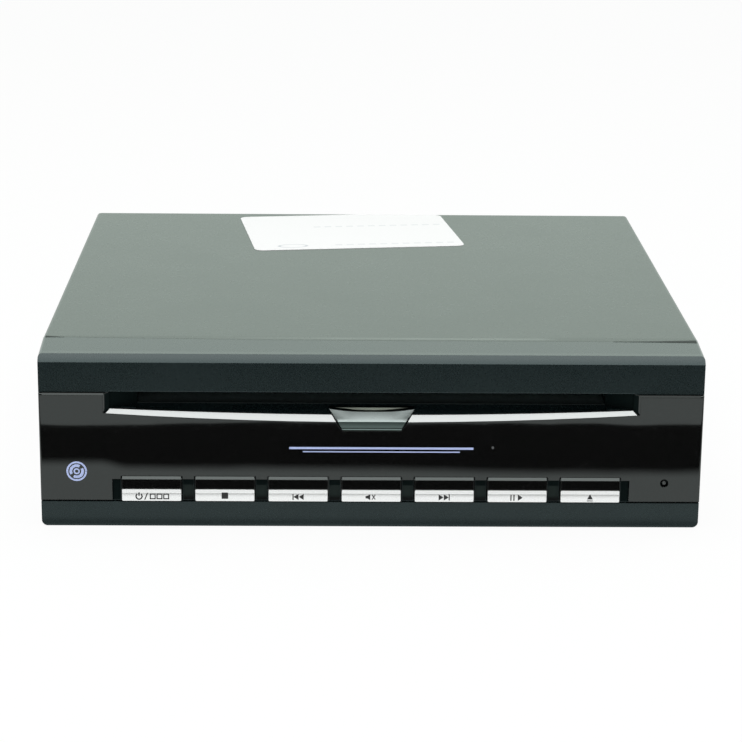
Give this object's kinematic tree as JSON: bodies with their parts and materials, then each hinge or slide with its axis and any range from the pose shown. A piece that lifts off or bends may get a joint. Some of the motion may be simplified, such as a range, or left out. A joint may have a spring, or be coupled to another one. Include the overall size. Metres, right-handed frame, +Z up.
{
  "type": "disc player",
  "caption": "Slot-loading disc player for a dashboard opening, with a gloss front panel, a row of push keys and its loading, clamping and pickup mechanism inside.",
  "frame": {"origin": "on the base, under the middle of the whole player", "axes": "+X to the right seen from the front, +Y from the front to the rear, +Z up"},
  "size_m": [0.178, 0.1888, 0.0481],
  "materials": {
    "cover_paint": "fine black powder coat",
    "chassis_steel": "zinc-plated sheet",
    "fascia_plastic": "fine-grained black moulding",
    "gloss_black": "piano black",
    "trim_silver": "bright silver",
    "scoop_silver": "pearl silver",
    "plate_silver": "satin silver",
    "felt": "short-nap felt",
    "light_pipe": "clear",
    "reset_grey": "moulded",
    "circuit_board": "solder resist",
    "black_plastic": "moulded",
    "mechanism_steel": "zinc-plated sheet",
    "rubber": "soft",
    "gear_plastic": "acetal",
    "bright_steel": "ground",
    "lens_glass": "coated",
    "jack_metal": "nickel plate",
    "flat_cable": "film",
    "label_paper": "plain"
  },
  "bodies": {
    "player_body": {"board_components": "black_plastic", "bottom_chassis": "chassis_steel", "clamp_arm_pin": "bright_steel", "clamp_spring": "bright_steel", "dampers": "rubber", "disc_guide": "black_plastic", "fascia_frame": "fascia_plastic", "flat_cable": "flat_cable", "floor_standoffs": "bright_steel", "front_board": "circuit_board", "gloss_panel": "gloss_black", "guide_rod": "bright_steel", "machine_screws": "bright_steel", "main_board": "circuit_board", "mechanism_bridge": "mechanism_steel", "mechanism_frame": "mechanism_steel", "power_connector": "black_plastic", "rear_jacks": "jack_metal", "rear_stud": "bright_steel", "rod_holders": "black_plastic", "shoulder_screws": "bright_steel", "sled_motor": "bright_steel", "slot_felt": "felt", "slot_trim_left": "trim_silver", "slot_trim_right": "trim_silver", "spindle_motor": "bright_steel", "status_led": "light_pipe", "tact_switches": "black_plastic", "thumb_scoop": "scoop_silver", "top_cover": "cover_paint", "top_label": "label_paper"},
    "reset_button": {"reset_button": "reset_grey"},
    "turntable": {"turntable": "black_plastic"},
    "pickup_sled": {"pickup_sled": "black_plastic", "objective_lens": "lens_glass"},
    "lead_screw": {"lead_screw": "bright_steel"},
    "roller_carriage": {"roller_carriage": "mechanism_steel", "carriage_pins": "bright_steel", "loading_motor": "bright_steel"},
    "loading_roller": {"loading_roller": "rubber", "roller_shaft": "bright_steel", "roller_gear": "gear_plastic"},
    "idler_gear": {"idler_gear": "gear_plastic"},
    "motor_pinion": {"motor_pinion": "gear_plastic"},
    "clamp_arm": {"clamp_arm": "mechanism_steel"},
    "clamp_puck": {"clamp_puck": "black_plastic"},
    "key_power": {"key_power": "gloss_black", "key_plate_power": "plate_silver"},
    "key_stop": {"key_stop": "gloss_black", "key_plate_stop": "plate_silver"},
    "key_previous": {"key_previous": "gloss_black", "key_plate_previous": "plate_silver"},
    "key_mute": {"key_mute": "gloss_black", "key_plate_mute": "plate_silver"},
    "key_next": {"key_next": "gloss_black", "key_plate_next": "plate_silver"},
    "key_play_pause": {"key_play_pause": "gloss_black", "key_plate_play_pause": "plate_silver"},
    "key_eject": {"key_eject": "gloss_black", "key_plate_eject": "plate_silver"}
  },
  "joints": [
    {"name": "key_power_press", "type": "slide", "parent": "player_body", "child": "key_power", "axis": [0, 1, 0], "range_m": [0, 0.0008], "stiffness_N_per_m": 600},
    {"name": "key_stop_press", "type": "slide", "parent": "player_body", "child": "key_stop", "axis": [0, 1, 0], "range_m": [0, 0.0008], "stiffness_N_per_m": 600},
    {"name": "key_previous_press", "type": "slide", "parent": "player_body", "child": "key_previous", "axis": [0, 1, 0], "range_m": [0, 0.0008], "stiffness_N_per_m": 600},
    {"name": "key_mute_press", "type": "slide", "parent": "player_body", "child": "key_mute", "axis": [0, 1, 0], "range_m": [0, 0.0008], "stiffness_N_per_m": 600},
    {"name": "key_next_press", "type": "slide", "parent": "player_body", "child": "key_next", "axis": [0, 1, 0], "range_m": [0, 0.0008], "stiffness_N_per_m": 600},
    {"name": "key_play_pause_press", "type": "slide", "parent": "player_body", "child": "key_play_pause", "axis": [0, 1, 0], "range_m": [0, 0.0008], "stiffness_N_per_m": 600},
    {"name": "key_eject_press", "type": "slide", "parent": "player_body", "child": "key_eject", "axis": [0, 1, 0], "range_m": [0, 0.0008], "stiffness_N_per_m": 600},
    {"name": "reset_press", "type": "slide", "parent": "player_body", "child": "reset_button", "axis": [0, 1, 0], "range_m": [0, 0.0005], "stiffness_N_per_m": 600},
    {"name": "turntable_spin", "type": "hinge", "parent": "player_body", "child": "turntable", "pos_m": [0, -0.0026, 0.031], "axis": [0, 0, 1], "continuous": true},
    {"name": "pickup_slide", "type": "slide", "parent": "player_body", "child": "pickup_sled", "axis": [0, 1, 0], "range_m": [0, 0.034]},
    {"name": "lead_screw_turn", "type": "hinge", "parent": "player_body", "child": "lead_screw", "pos_m": [-0.017, 0.0214, 0.024], "axis": [0, 1, 0], "range_deg": [-4081, 0]},
    {"name": "carriage_lift", "type": "hinge", "parent": "player_body", "child": "roller_carriage", "pos_m": [0, -0.0525, 0.027], "axis": [-1, 0, 0], "range_deg": [0, 14]},
    {"name": "roller_spin", "type": "hinge", "parent": "roller_carriage", "child": "loading_roller", "pos_m": [0, -0.0656, 0.0293], "axis": [1, 0, 0], "continuous": true},
    {"name": "idler_spin", "type": "hinge", "parent": "roller_carriage", "child": "idler_gear", "pos_m": [-0.0695, -0.0525, 0.027], "axis": [1, 0, 0], "continuous": true},
    {"name": "pinion_spin", "type": "hinge", "parent": "roller_carriage", "child": "motor_pinion", "pos_m": [-0.0695, -0.04221, 0.0265], "axis": [1, 0, 0], "continuous": true},
    {"name": "clamp_swing", "type": "hinge", "parent": "player_body", "child": "clamp_arm", "pos_m": [0, 0.0574, 0.0432], "axis": [1, 0, 0], "range_deg": [0, 4]},
    {"name": "puck_spin", "type": "hinge", "parent": "clamp_arm", "child": "clamp_puck", "pos_m": [0, -0.0026, 0.0376], "axis": [0, 0, 1], "continuous": true}
  ],
  "couplings": [
    {"joint": "lead_screw_turn", "follows": "pickup_slide", "rad_per_m": -2094.4},
    {"joint": "idler_spin", "follows": "roller_spin", "ratio": -0.83333},
    {"joint": "pinion_spin", "follows": "roller_spin", "ratio": 2}
  ]
}
